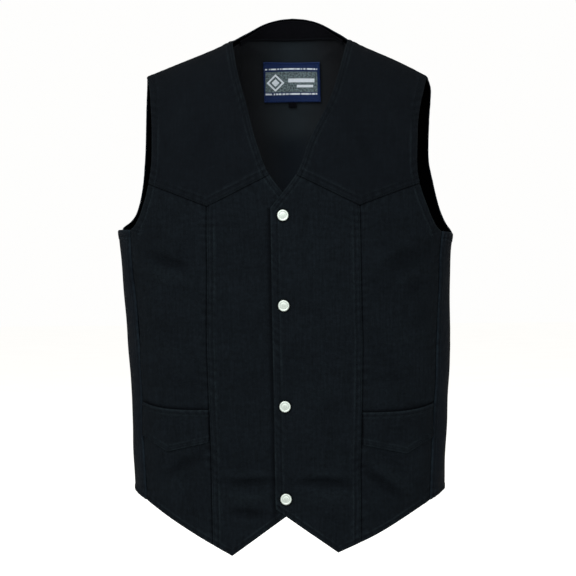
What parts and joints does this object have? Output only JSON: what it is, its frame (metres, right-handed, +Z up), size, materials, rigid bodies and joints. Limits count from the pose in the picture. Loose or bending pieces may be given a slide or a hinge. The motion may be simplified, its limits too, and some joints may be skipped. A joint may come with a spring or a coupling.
{
  "type": "biker vest",
  "caption": "Sleeveless black denim vest with a V neck, pointed yokes, shaped pocket welts, pointed front hems and a lapped snap front, filled out and hollow as if worn.",
  "frame": {"origin": "midway between the two shoulders, level with the neck ends of their seams, where the wearer's shoulders hold the vest up", "axes": "+Z up, +X to the wearer's left, -Y to the front"},
  "size_m": [0.453, 0.2633, 0.723],
  "materials": {
    "denim": "matte black denim twill, slightly blue",
    "lining": "smooth dark grey lining with a soft sheen",
    "facing": "matte black facing cloth",
    "label": "woven navy border round a pale grey field",
    "snap_metal": "bright nickel"
  },
  "bodies": {
    "root": {"back_panel": "denim", "back_lining": "lining", "back_neck_facing": "facing", "neck_label": "label", "size_tab": "facing", "yoke_left": "denim", "yoke_right": "denim", "front_centre_left": "denim", "front_centre_right": "denim", "front_side_left": "denim", "front_side_right": "denim", "pocket_welt_left": "denim", "pocket_welt_right": "denim", "snap_cap_1": "snap_metal", "snap_cap_2": "snap_metal", "snap_cap_3": "snap_metal", "snap_cap_4": "snap_metal", "snap_back_1": "snap_metal", "snap_back_2": "snap_metal", "snap_back_3": "snap_metal", "snap_back_4": "snap_metal"}
  },
  "joints": []
}
